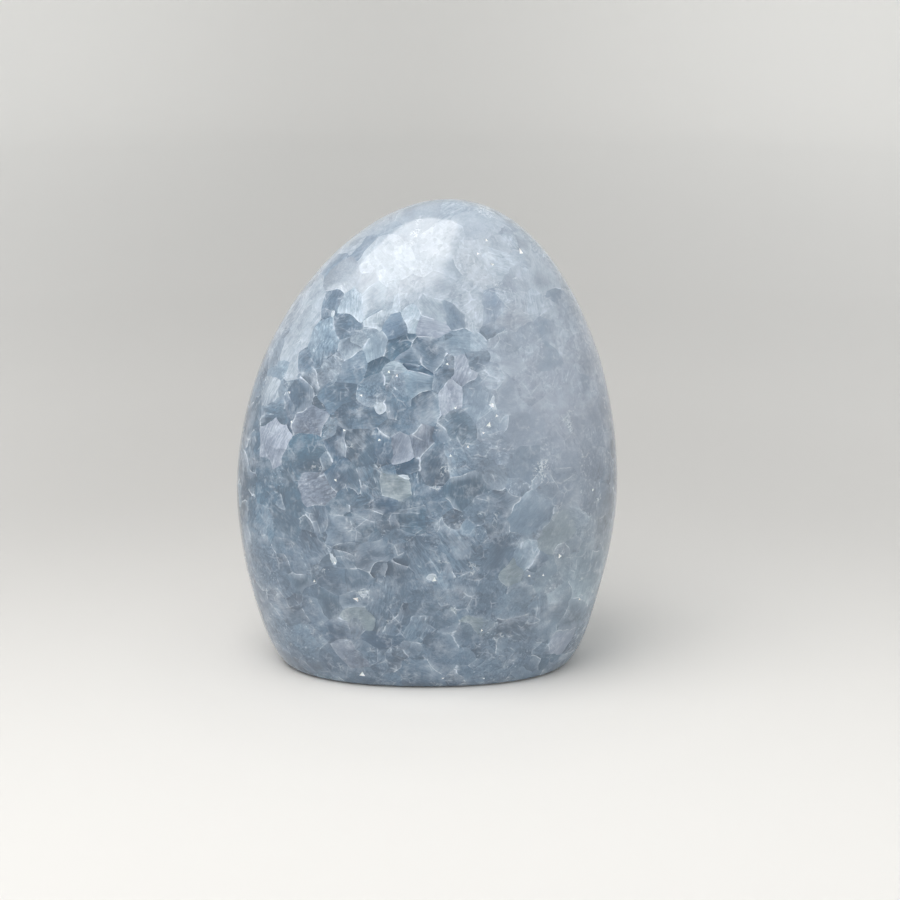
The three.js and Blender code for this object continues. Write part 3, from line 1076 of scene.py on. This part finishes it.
@dataclass
class Bench:
    """Lays out shader nodes and wires them together."""

    tree: bpy.types.NodeTree

    def node(self, kind: str, **settings: object) -> bpy.types.Node:
        """Adds a node.

        Args:
            kind: the node's type, without the word ShaderNode.
            settings: properties of the node.

        Returns:
            The node.
        """
        made = self.tree.nodes.new("ShaderNode" + kind)
        for name, value in settings.items():
            setattr(made, name, value)
        return made

    def feed(self, socket: bpy.types.NodeSocket, value: object) -> None:
        """Links a socket to another, or sets its value.

        Args:
            socket: the input.
            value: an output socket, a number or a colour.
        """
        if isinstance(value, bpy.types.NodeSocket):
            self.tree.links.new(value, socket)
        elif value is not None:
            socket.default_value = value

    def math(
        self, operation: str, a: object, b: object = None, c: object = None, clamp: bool = False
    ) -> bpy.types.NodeSocket:
        """One step of arithmetic.

        Args:
            operation: the Math node's operation.
            a: the first value.
            b: the second value, where the operation has one.
            c: the third value, where the operation has one.
            clamp: whether the result is kept from 0 to 1.

        Returns:
            The result.
        """
        made = self.node("Math", operation=operation, use_clamp=clamp)
        for socket, value in zip(made.inputs, (a, b, c)):
            self.feed(socket, value)
        return made.outputs[0]

    def product(self, *factors: object) -> bpy.types.NodeSocket:
        """All the factors multiplied together."""
        result = factors[0]
        for factor in factors[1:]:
            result = self.math("MULTIPLY", result, factor)
        return result

    def vector(
        self, operation: str, a: object, b: object = None, scale: object = None
    ) -> bpy.types.NodeSocket:
        """One step of vector arithmetic.

        Args:
            operation: the Vector Math node's operation.
            a: the first vector.
            b: the second vector, where the operation has one.
            scale: the factor of a SCALE.

        Returns:
            The result, a number for DOT_PRODUCT and LENGTH.
        """
        made = self.node("VectorMath", operation=operation)
        self.feed(made.inputs[0], a)
        self.feed(made.inputs[1], b)
        if operation == "SCALE":
            self.feed(made.inputs["Scale"], scale)
        return made.outputs["Value" if operation in ("DOT_PRODUCT", "LENGTH") else "Vector"]

    def noise(self, place: object, lumps: Lumps, output: str = "Fac") -> bpy.types.NodeSocket:
        """A noise, from about 0 to 1.

        Args:
            place: where it is read.
            lumps: what it is like.
            output: "Fac" for a number, or "Color" for a vector.

        Returns:
            The number or the vector.
        """
        made = self.node("TexNoise")
        self.feed(made.inputs["Vector"], place)
        made.inputs["Scale"].default_value = 1 / lumps.size
        made.inputs["Detail"].default_value = lumps.detail
        made.inputs["Roughness"].default_value = lumps.roughness
        return made.outputs[output]

    def swing(self, place: object, lumps: Lumps) -> bpy.types.NodeSocket:
        """A noise as a number that swings from about -1 to 1."""
        contrast = 3.0
        return self.math("MULTIPLY_ADD", self.noise(place, lumps), contrast, -contrast / 2)

    def cells(self, place: object, size: float, feature: str = "F1") -> bpy.types.Node:
        """A cell texture whose cells are about as wide as size."""
        made = self.node("TexVoronoi", feature=feature)
        self.feed(made.inputs["Vector"], place)
        made.inputs["Scale"].default_value = 1 / size
        return made

    def ease(
        self, value: object, low: object, high: object, start: object = 0.0, end: object = 1.0
    ) -> bpy.types.NodeSocket:
        """A smooth step.

        Args:
            value: what is mapped.
            low: the value where the step begins.
            high: the value where it ends.
            start: the result up to low.
            end: the result from high on.

        Returns:
            The mapped value.
        """
        made = self.node("MapRange", interpolation_type="SMOOTHSTEP")
        for socket, entry in zip(made.inputs, (value, low, high, start, end)):
            self.feed(socket, entry)
        return made.outputs["Result"]

    def near(self, value: object, reach: float) -> bpy.types.NodeSocket:
        """1 where a value is 0, easing to 0 where it comes to reach."""
        return self.ease(value, 0.0, reach, 1.0, 0.0)

    def patches(self, place: object, kind: Patches) -> bpy.types.NodeSocket:
        """Soft-edged patches, 0 between them and as much as their strength inside them."""
        return self.ease(self.noise(place, kind.lumps), kind.low, kind.high, 0.0, kind.strength)

    def ridges(self, place: object, kind: Ridges) -> bpy.types.NodeSocket:
        """Thin lines, 1 along their middles and 0 between them, before their strength."""
        return self.near(self.math("ABSOLUTE", self.swing(place, kind.lumps)), kind.reach)

    def mix(self, share: object, a: object, b: object) -> bpy.types.NodeSocket:
        """A blend of two colours.

        Args:
            share: how much of b.
            a: the first colour.
            b: the second colour.

        Returns:
            The blended colour.
        """
        made = self.node("Mix", data_type="RGBA")
        self.feed(made.inputs["Factor"], share)
        self.feed(made.inputs["A"], a)
        self.feed(made.inputs["B"], b)
        return made.outputs["Result"]

    def given(self, name: str, output: str = "Fac") -> bpy.types.NodeSocket:
        """Reads an attribute of the mesh."""
        return self.node("Attribute", attribute_type="GEOMETRY", attribute_name=name).outputs[output]

    def parts(self, vector: object) -> tuple[bpy.types.NodeSocket, ...]:
        """The three parts of a vector."""
        split = self.node("SeparateXYZ")
        self.feed(split.inputs[0], vector)
        return tuple(split.outputs)

    def show(self, shader: bpy.types.Node) -> None:
        """Makes a shader the surface of the material."""
        self.feed(self.node("OutputMaterial").inputs["Surface"], shader.outputs[0])


def blank_material(name: str) -> tuple[bpy.types.Material, Bench]:
    """A new material that has no nodes yet, and the bench to lay them out on."""
    material = bpy.data.materials.new(name)
    material.use_nodes = True
    material.node_tree.nodes.clear()
    return material, Bench(material.node_tree)


@dataclass(frozen=True)
class Facets:
    """Planes inside a grain: their size, how far their tones differ and how strongly each one ramps."""

    size: float
    level: float
    ramp: float


@dataclass(frozen=True)
class CalciteFinish:
    """Hand-polished, milky, translucent calcite. Sizes of the detail are real sizes."""

    polish: float = 0.14
    index: float = 1.66
    polish_film: float = 0.35
    film_roughness: float = 0.09
    glow: float = 0.5
    glow_depth: tuple[float, float, float] = (0.0024, 0.0028, 0.0034)
    grit: Lumps = Lumps(0.0006, 3, 0.7)
    grit_roughness: float = 0.10
    veil_roughness: float = 0.12
    break_roughness: float = 0.15
    bends: Lumps = Lumps(0.004, 1)
    bend_reach: float = 0.0011
    grain_tilt: float = 0.012
    hand_waves: Lumps = Lumps(0.008, 1)
    hand_tilt: float = 0.06
    relief: Lumps = Lumps(0.0012, 3, 0.6)
    relief_height: float = 0.00005
    relief_strength: float = 0.3
    clouds: Lumps = Lumps(0.010, 3, 0.55)
    cloud_strength: float = 0.15
    ramp_strength: float = 0.34
    core_reach: tuple[float, float] = (0.0002, 0.0017)
    core_strength: float = -0.30
    shadow_strength: float = 0.7
    coarse: Facets = Facets(0.0032, 0.08, 0.19)
    coarse_least: float = 0.3
    fine: Facets = Facets(0.0011, 0.08, 0.13)
    sugar: Lumps = Lumps(0.00036, 4, 0.85)
    sugar_least: float = 0.15
    sugar_more: float = 0.17
    cleavage: tuple[Lumps, float] = (Lumps(0.00050, 3, 0.65), 0.93)
    cleavage_contrast: float = 0.4
    cleavage_strength: float = 0.25
    brushing: tuple[Lumps, float] = (Lumps(0.00030, 3, 0.65), 0.86)
    brushing_strength: float = 0.38
    darkest: float = 0.3
    milk_clearing: float = 0.8
    milk_cover: float = 0.62
    milk_contrast: float = 0.6
    halo_reach: float = 0.0016
    halo_strength: float = 0.31
    line_width: float = 0.00024
    line_rims: tuple[float, float] = (0.1, 0.5)
    line_strength: float = 0.68
    line_patches: Patches = Patches(Lumps(0.0024), 0.44, 0.62)
    seam_width: float = 0.06
    seam_strength: float = 0.34
    seam_patches: Patches = Patches(Lumps(0.0026), 0.47, 0.66)
    wisps: tuple[Ridges, ...] = (
        Ridges(Lumps(0.0060, 4, 0.62), 0.22, 0.12),
        Ridges(Lumps(0.0022, 4, 0.62), 0.22, 0.09),
    )
    fibre_streaks: tuple[float, float] = (0.15, 0.75)
    fibre_strength: float = 0.80
    haze: Patches = Patches(Lumps(0.0075, 5, 0.62), 0.5, 0.74, 0.33)
    veil_fading: float = 0.55
    veil_tearing: float = 0.45
    # Painted glints: thin bright scribbles and the patches that gather them
    scribbles: Ridges = Ridges(Lumps(0.0016, 3, 0.7), 0.14)
    painted_glint_patches: Patches = Patches(Lumps(0.0055), 0.62, 0.74, 0.5)
    pale: tuple[float, float, float, float] = (0.69, 0.77, 0.87, 1)
    milk: tuple[float, float, float, float] = (0.365, 0.41, 0.48, 1)
    # The colour of the painted glints
    painted_glint_colour: tuple[float, float, float, float] = (0.88, 0.95, 1.0, 1)
    powder: tuple[float, float, float, float] = (0.93, 0.97, 0.99, 1)

    def bent_place(self, bench: Bench) -> bpy.types.NodeSocket:
        """The place on the stone, gently bent so that no detail runs straight."""
        here = bench.node("TexCoord").outputs["Object"]
        return bench.vector("ADD", here, self.wander(bench, here, self.bends, self.bend_reach))

    def wander(self, bench: Bench, place: object, lumps: Lumps, reach: float) -> bpy.types.NodeSocket:
        """A push one way or another.

        Args:
            bench: where the nodes go.
            place: the place on the stone.
            lumps: the noise that it follows.
            reach: how far it goes at most, from one end to the other.

        Returns:
            The push.
        """
        chance = bench.noise(place, lumps, "Color")
        return bench.vector("SCALE", bench.vector("SUBTRACT", chance, (0.5,) * 3), scale=reach)

    def facet_light(self, bench: Bench, place: object, facets: Facets) -> bpy.types.NodeSocket:
        """How much lighter or darker the planes inside a grain are than the grain.

        Args:
            bench: where the nodes go.
            place: the place on the stone.
            facets: the planes.

        Returns:
            The change of light, about 0.
        """
        cell = bench.cells(place, facets.size)
        chance = cell.outputs["Color"]
        apart = bench.vector("SUBTRACT", place, cell.outputs["Position"])
        slope = bench.vector("DOT_PRODUCT", apart, bench.vector("SUBTRACT", chance, (0.5,) * 3))
        level = bench.math("SUBTRACT", bench.parts(chance)[0], 0.5)
        ramp = bench.math("MULTIPLY", slope, 2 * facets.ramp / facets.size)
        return bench.math("MULTIPLY_ADD", level, 2 * facets.level, ramp)

    def streaks(self, bench: Bench, place: object, lumps: Lumps, stretch: float) -> bpy.types.NodeSocket:
        """Fine streaks along each grain's own cleavage.

        Args:
            bench: where the nodes go.
            place: the place on the stone.
            lumps: the noise that is drawn out into streaks.
            stretch: how far it is drawn out, up to 1 for no end.

        Returns:
            From about -1 to 1.
        """
        axis = bench.given("grain_axis", "Vector")
        along = bench.vector("DOT_PRODUCT", place, axis)
        drawn = bench.vector("SCALE", axis, scale=bench.math("MULTIPLY", along, stretch))
        return bench.swing(bench.vector("SUBTRACT", place, drawn), lumps)

    def body(self, bench: Bench, place: object, streaks: object, brushed: object) -> bpy.types.NodeSocket:
        """The tone of each grain, with all that makes it lighter or darker inside.

        Args:
            bench: where the nodes go.
            place: the place on the stone.
            streaks: the cleavage streaks.
            brushed: the finer streaks.

        Returns:
            The colour.
        """
        streaky, mottled, _ = bench.parts(bench.given("grain_habit", "Vector"))
        depth = bench.given("border_depth")
        milk = bench.given("milk")
        clear = bench.math("MULTIPLY_ADD", milk, -self.milk_clearing, 1.0)
        core = bench.product(bench.ease(depth, *self.core_reach), bench.given("grain_core"))
        dark_rim = bench.math("MINIMUM", bench.given("rim"), 0.0)
        shadow = bench.math("MULTIPLY", dark_rim, self.shadow_strength)
        clouds = bench.swing(place, self.clouds)
        coarse, fine = (self.facet_light(bench, place, facets) for facets in (self.coarse, self.fine))
        coarse_share = bench.math("ADD", mottled, self.coarse_least)
        sugar = bench.swing(place, self.sugar)
        sugar_share = bench.math("MULTIPLY_ADD", mottled, self.sugar_more, self.sugar_least)
        planes = bench.ease(streaks, -self.cleavage_contrast, self.cleavage_contrast, -1.0, 1.0)
        changes = (
            bench.product(bench.given("grain_ramp"), clear, self.ramp_strength),
            bench.product(core, clear, self.core_strength),
            bench.product(shadow, bench.near(depth, self.halo_reach)),
            bench.product(clouds, self.cloud_strength),
            bench.product(coarse, clear, coarse_share),
            bench.product(fine, mottled),
            bench.product(sugar, clear, sugar_share),
            bench.product(planes, streaky, clear, self.cleavage_strength),
            bench.product(brushed, clear, clear, self.brushing_strength),
        )
        light = 1.0
        for change in changes:
            light = bench.math("MULTIPLY", light, bench.math("ADD", change, 1.0))
        light = bench.math("MAXIMUM", light, self.darkest)
        shift = bench.node("CombineXYZ")
        for socket, power in zip(shift.inputs, TINT_POWERS):
            bench.feed(socket, bench.math("POWER", light, power))
        body = bench.vector("MULTIPLY", bench.given("grain_tone", "Color"), shift.outputs[0])
        milky = bench.vector("SCALE", self.milk[:3], scale=bench.math("POWER", light, self.milk_contrast))
        return bench.mix(bench.math("MULTIPLY", milk, self.milk_cover), body, milky)

    def veils(self, bench: Bench, place: object, streaks: object, brushed: object) -> bpy.types.NodeSocket:
        """Where the stone is whitened: grain borders, planes inside grains, wisps and fibres.

        Args:
            bench: where the nodes go.
            place: the place on the stone.
            streaks: the cleavage streaks.
            brushed: the finer streaks.

        Returns:
            The whitening, from 0 to 1.
        """
        streaky, mottled, _ = bench.parts(bench.given("grain_habit", "Vector"))
        depth = bench.given("border_depth")
        rim = bench.math("MAXIMUM", bench.given("rim"), 0.0)
        patch = bench.patches(place, self.line_patches)
        broken = bench.patches(place, self.seam_patches)
        halo = bench.product(bench.near(depth, self.halo_reach), rim, self.halo_strength)
        plain_rim = bench.ease(rim, *self.line_rims)
        line = bench.product(bench.near(depth, self.line_width), plain_rim, patch, self.line_strength)
        edge = bench.cells(place, self.coarse.size, "DISTANCE_TO_EDGE").outputs["Distance"]
        seam = bench.product(bench.near(edge, self.seam_width), broken, mottled, self.seam_strength)
        wisps = [bench.product(bench.ridges(place, kind), broken, kind.strength) for kind in self.wisps]
        fibres = bench.ease(streaks, *self.fibre_streaks)
        fibres = bench.product(fibres, streaky, patch, self.fibre_strength)
        total = halo
        for veil in (line, seam, *wisps, fibres, bench.patches(place, self.haze)):
            total = bench.math("ADD", total, veil)
        fade = bench.math("MULTIPLY_ADD", bench.given("milk"), -self.veil_fading, 1.0)
        torn = bench.math("MULTIPLY_ADD", brushed, self.veil_tearing, 1.0)
        return bench.math("MULTIPLY", total, bench.math("MULTIPLY", fade, torn), clamp=True)

    def sparks(self, bench: Bench, place: object) -> bpy.types.NodeSocket:
        """Painted glints: bright scribbles, gathered in patches, painted into the colour where broken
        planes inside throw the light back.
        """
        gathered = bench.patches(place, self.painted_glint_patches)
        return bench.product(gathered, bench.ridges(place, self.scribbles))

    def normal(self, bench: Bench, place: object, veils: object) -> bpy.types.NodeSocket:
        """The polished skin: each grain a hair out of level, gentle waves of hand work, and fine relief.

        Args:
            bench: where the nodes go.
            place: the place on the stone.
            veils: where the stone is whitened, which is a little lower.

        Returns:
            The surface normal.
        """
        smooth = bench.node("NewGeometry").outputs["Normal"]
        tilt = bench.vector("SCALE", bench.given("grain_axis", "Vector"), scale=self.grain_tilt)
        wave = self.wander(bench, place, self.hand_waves, self.hand_tilt)
        leaning = bench.vector("NORMALIZE", bench.vector("ADD", bench.vector("ADD", smooth, tilt), wave))
        relief = bench.math("SUBTRACT", bench.noise(place, self.relief), veils)
        bump = bench.node("Bump")
        bump.inputs["Strength"].default_value = self.relief_strength
        bump.inputs["Distance"].default_value = self.relief_height
        bench.feed(bump.inputs["Height"], relief)
        bench.feed(bump.inputs["Normal"], leaning)
        return bump.outputs["Normal"]

    def build(self) -> bpy.types.Material:
        """Makes the material.

        Returns:
            The material.
        """
        material, bench = blank_material("polished_calcite")
        place = self.bent_place(bench)
        streaks = self.streaks(bench, place, *self.cleavage)
        brushed = self.streaks(bench, place, *self.brushing)
        fresh = bench.given("fresh_break")
        veils = self.veils(bench, place, streaks, brushed)
        colour = bench.mix(veils, self.body(bench, place, streaks, brushed), self.pale)
        # Painted glints mixed into the colour, then the white of fresh breaks
        colour = bench.mix(self.sparks(bench, place), colour, self.painted_glint_colour)
        colour = bench.mix(fresh, colour, self.powder)
        grit, spread = bench.noise(place, self.grit), self.grit_roughness
        rough = bench.math("MULTIPLY_ADD", grit, spread, self.polish - spread / 2)
        rough = bench.math("MULTIPLY_ADD", veils, self.veil_roughness, rough)
        rough = bench.math("MULTIPLY_ADD", fresh, self.break_roughness, rough)
        shader = bench.node("BsdfPrincipled", subsurface_method="RANDOM_WALK")
        bench.feed(shader.inputs["Base Color"], colour)
        bench.feed(shader.inputs["Roughness"], rough)
        bench.feed(shader.inputs["Normal"], self.normal(bench, place, veils))
        for name, value in (
            ("IOR", self.index),
            ("Coat Weight", self.polish_film),
            ("Coat Roughness", self.film_roughness),
            ("Subsurface Weight", self.glow),
            ("Subsurface Scale", 1.0),
            ("Subsurface Radius", self.glow_depth),
        ):
            shader.inputs[name].default_value = value
        bench.show(shader)
        return material


@dataclass
class CalciteStone:
    """The one piece: its form, its chips, its grains and its finish."""

    form: StoneForm = field(default_factory=StoneForm)
    chipping: Chipping = field(default_factory=Chipping)
    mosaic: Mosaic = field(default_factory=Mosaic)
    finish: CalciteFinish = field(default_factory=CalciteFinish)

    def fit(self, skin: SkinMesh) -> None:
        """Centres the skin in the box of its solid and trims it to the box's size.

        Args:
            skin: the skin, changed in place.
        """
        low, high = (np.array(corner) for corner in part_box(NODE))
        mine_low, mine_high = skin.points.min(axis=0), skin.points.max(axis=0)
        skin.points -= mine_low
        skin.points *= (high - low) / (mine_high - mine_low)
        skin.points += low

    def dress(self, mesh: bpy.types.Mesh, parted: Parting, grains: Grains, broken: np.ndarray) -> None:
        """Writes what the finish reads into the mesh.

        Args:
            mesh: the mesh of the stone.
            parted: the parted skin.
            grains: the grains.
            broken: which triangles are fresh breaks.
        """
        skin, names = parted.skin, parted.grain
        _, milk = self.mosaic.zone_mix(skin.tree(), skin.points)
        apart = skin.points[skin.triangles] - grains.centres[names][:, None, :]
        ramp = np.einsum("ijk,ik->ij", apart, grains.ramps[names]) / (self.mosaic.spacing / 2)
        ramp = np.clip(ramp, -1, 1)
        pairs = parted.pairs[skin.triangles]
        own = names[:, None]
        other = np.where(pairs[:, :, 0] == own, pairs[:, :, 1], pairs[:, :, 0])
        habits = grains.habits[names]
        milky = milk[skin.triangles]
        softness = grains.softness(own, other)
        softness += (1 - softness) * milky**2 * self.mosaic.milky_softness
        rims = grains.rims(own, other) * habits[:, None, 2] * (1 - softness)
        nearness = np.clip(1 - parted.depth[skin.triangles] / self.mosaic.melt / (1 + milky), 0, 1)
        blend = softness * nearness**2 * (3 - 2 * nearness) / 2
        tones = np.ones((*blend.shape, 4))
        share = blend[:, :, None]
        tones[:, :, :3] = grains.tones[own] * (1 - share) + grains.tones[other] * share
        tones[:, :, :3] /= self.mosaic.daylight
        layers = (
            ("grain_tone", "FLOAT_COLOR", "CORNER", "color", tones),
            ("grain_axis", "FLOAT_VECTOR", "FACE", "vector", grains.axes[names]),
            ("grain_habit", "FLOAT_VECTOR", "FACE", "vector", habits[:, :3]),
            ("grain_core", "FLOAT", "FACE", "value", habits[:, 3]),
            ("grain_ramp", "FLOAT", "CORNER", "value", ramp * (1 - 2 * blend)),
            ("rim", "FLOAT", "CORNER", "value", rims),
            ("border_depth", "FLOAT", "POINT", "value", parted.depth),
            ("milk", "FLOAT", "POINT", "value", milk),
            ("fresh_break", "FLOAT", "FACE", "value", broken),
        )
        for name, kind, domain, key, values in layers:
            layer = mesh.attributes.new(name, kind, domain)
            layer.data.foreach_set(key, values.astype(np.float32).ravel())
        mesh.attributes.new("sharp_face", "BOOLEAN", "FACE").data.foreach_set("value", broken)

    def build(self) -> bpy.types.Object:
        """Makes the stone.

        Returns:
            The stone's object.
        """
        whole = self.form.skin()
        self.fit(whole)
        chipped = self.chipping.cut(whole)
        grains = self.mosaic.grow(chipped)
        parted = self.mosaic.part(chipped, grains)
        stone = parted.skin.to_object("calcite_freeform")
        self.dress(stone.data, parted, grains, self.chipping.fresh(parted.skin, whole))
        stone.data.materials.append(self.finish.build())
        log.info("%s: %d grains, %d triangles", stone.name, len(grains), len(parted.skin.triangles))
        return stone


@dataclass
class Studio:
    """A pale sweep with painted light and shade graduated across it, a large softbox overhead and the
    camera of the photograph.
    """

    floor_radius: float = 0.9
    bend_radius: float = 0.25
    wall_height: float = 0.9
    # Painted light and shade by distance from the stone: palest round its foot over the contact shadow,
    # darkest near 0.15 m, paler again up the wall
    painted_light_by_distance: tuple[tuple[float, float], ...] = (
        (0.000, 0.95),
        (0.022, 0.95),
        (0.034, 0.84),
        (0.052, 0.79),
        (0.080, 0.76),
        (0.150, 0.71),
        (0.250, 0.735),
        (0.450, 0.79),
        (0.800, 0.94),
        (1.150, 1.00),
    )
    paper_turn: float = 0.13
    # Painted light across the paper: paler at the right, paler in front and darker behind, darker along the
    # middle and paler out to the sides
    painted_light_sides: tuple[float, float] = (0.99, 1.05)
    painted_light_ends: tuple[float, float] = (1.11, 0.84)
    paper_reach: float = 0.30
    painted_light_spread: tuple[float, float] = (0.89, 1.05)
    paper_tint: tuple[float, float, float] = (1.0, 0.995, 0.975)
    paper_roughness: float = 0.9
    paper_gloss: float = 0.1
    softbox_place: tuple[float, float, float] = (-0.240, -0.285, 0.62)
    softbox_size: tuple[float, float] = (0.54, 0.64)
    softbox_radiance: float = 3.0
    softbox_colour: tuple[float, float, float] = (1.0, 0.955, 0.915)
    room_light: float = 0.77
    room_colour: tuple[float, float, float, float] = (0.97, 0.985, 1.0, 1)
    aim: tuple[float, float, float] = (0.0, 0.0, 0.0525)
    camera_distance: float = 0.48
    camera_elevation: float = 15
    focal_pixels: float = 2172
    aim_pixel: tuple[float, float] = (427, 431)
    sensor: float = 36

    def camera(self) -> None:
        """Puts the camera where the photograph was taken from."""
        lens = bpy.data.cameras.new("camera")
        lens.sensor_width = self.sensor
        lens.lens = self.focal_pixels / IMAGE_SIDE * self.sensor
        lens.shift_x = (IMAGE_SIDE / 2 - self.aim_pixel[0]) / IMAGE_SIDE
        lens.shift_y = (self.aim_pixel[1] - IMAGE_SIDE / 2) / IMAGE_SIDE
        eye = bpy.data.objects.new("camera", lens)
        tilt = math.radians(self.camera_elevation)
        back = Vector((0, -math.cos(tilt), math.sin(tilt)))
        eye.location = Vector(self.aim) + back * self.camera_distance
        eye.rotation_euler = (-back).to_track_quat("-Z", "Y").to_euler()
        bpy.context.scene.collection.objects.link(eye)
        bpy.context.scene.camera = eye

    def sweep_profile(self) -> list[tuple[float, float]]:
        """Radius and height along the sweep: over the floor, up the bend and up the wall."""
        steps = 24
        profile = [(self.floor_radius * k / steps, 0.0) for k in range(1, steps + 1)]
        for k in range(1, steps + 1):
            turn = math.pi / 2 * k / steps
            out, up = self.bend_radius * math.sin(turn), self.bend_radius * (1 - math.cos(turn))
            profile.append((self.floor_radius + out, up))
        profile.append((profile[-1][0], self.wall_height))
        return profile

    def sweep(self) -> None:
        """Makes the round paper floor that turns up into a wall all round."""
        profile = self.sweep_profile()
        around = 96
        points = [(0.0, 0.0, 0.0)]
        faces = [(0, 1 + k, 1 + (k + 1) % around) for k in range(around)]
        for radius, height in profile:
            for k in range(around):
                turn = 2 * math.pi * k / around
                points.append((radius * math.cos(turn), radius * math.sin(turn), height))
        for ring in range(len(profile) - 1):
            for k in range(around):
                a, b = 1 + ring * around + k, 1 + ring * around + (k + 1) % around
                faces.append((a, a + around, b + around, b))
        mesh = bpy.data.meshes.new("paper_sweep")
        mesh.from_pydata(points, [], faces)
        mesh.polygons.foreach_set("use_smooth", [True] * len(faces))
        mesh.materials.append(self.paper_finish())
        paper = bpy.data.objects.new("paper_sweep", mesh)
        bpy.context.scene.collection.objects.link(paper)

    def paper_finish(self) -> bpy.types.Material:
        """Matt paper with painted light and shade: palest round the foot of the stone over its contact
        shadow, darkest a little further out, paler up the wall, paler in front and darker behind.
        """
        material, bench = blank_material("paper_painted_light")
        place = bench.node("TexCoord").outputs["Object"]
        apart = bench.vector("LENGTH", place)
        farthest = self.painted_light_by_distance[-1][0]
        ramp = bench.node("ValToRGB")
        ramp.color_ramp.interpolation = "CARDINAL"
        stops = ramp.color_ramp.elements
        while len(stops) < len(self.painted_light_by_distance):
            stops.new(0.5)
        for stop, (radius, paleness) in zip(stops, self.painted_light_by_distance):
            stop.position = radius / farthest
            stop.color = (*(paleness * tint for tint in self.paper_tint), 1)
        bench.feed(ramp.inputs[0], bench.math("DIVIDE", apart, farthest))
        across, along, _ = bench.parts(place)
        turn = self.paper_turn
        # Painted light and shade across the paper
        shade = bench.product(
            bench.ease(across, -turn, turn, *self.painted_light_sides),
            bench.ease(along, -turn, turn, *self.painted_light_ends),
            bench.ease(bench.math("ABSOLUTE", across), 0.0, self.paper_reach, *self.painted_light_spread),
        )
        shader = bench.node("BsdfPrincipled")
        bench.feed(shader.inputs["Base Color"], bench.vector("SCALE", ramp.outputs["Color"], scale=shade))
        shader.inputs["Roughness"].default_value = self.paper_roughness
        shader.inputs["Specular IOR Level"].default_value = self.paper_gloss
        bench.show(shader)
        return material

    def softbox(self) -> None:
        """Hangs the softbox level over the stone, a little in front and to the left."""
        lamp = bpy.data.lights.new("overhead_softbox", "AREA")
        lamp.shape = "RECTANGLE"
        lamp.color = self.softbox_colour
        lamp.size, lamp.size_y = self.softbox_size
        lamp.energy = self.softbox_radiance * math.pi * self.softbox_size[0] * self.softbox_size[1]
        hung = bpy.data.objects.new("overhead_softbox", lamp)
        hung.location = self.softbox_place
        bpy.context.scene.collection.objects.link(hung)

    def room(self) -> None:
        """Fills the room with soft even light."""
        world = bpy.data.worlds.new("room")
        world.use_nodes = True
        fill = world.node_tree.nodes["Background"]
        fill.inputs["Color"].default_value = self.room_colour
        fill.inputs["Strength"].default_value = self.room_light
        bpy.context.scene.world = world
        bpy.context.scene.view_settings.view_transform = "Standard"

    def build(self) -> None:
        """Sets the whole studio up."""
        self.camera()
        self.sweep()
        self.softbox()
        self.room()


def main() -> None:
    """Builds the stone and the studio round it."""
    logging.basicConfig(level=logging.INFO, format="%(name)s: %(message)s")
    stone = CalciteStone().build()
    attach(stone, "root")
    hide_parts(NODE)
    log.info("%s stands for %s", stone.name, NODE)
    Studio().build()


if __name__ == "__main__":
    main()
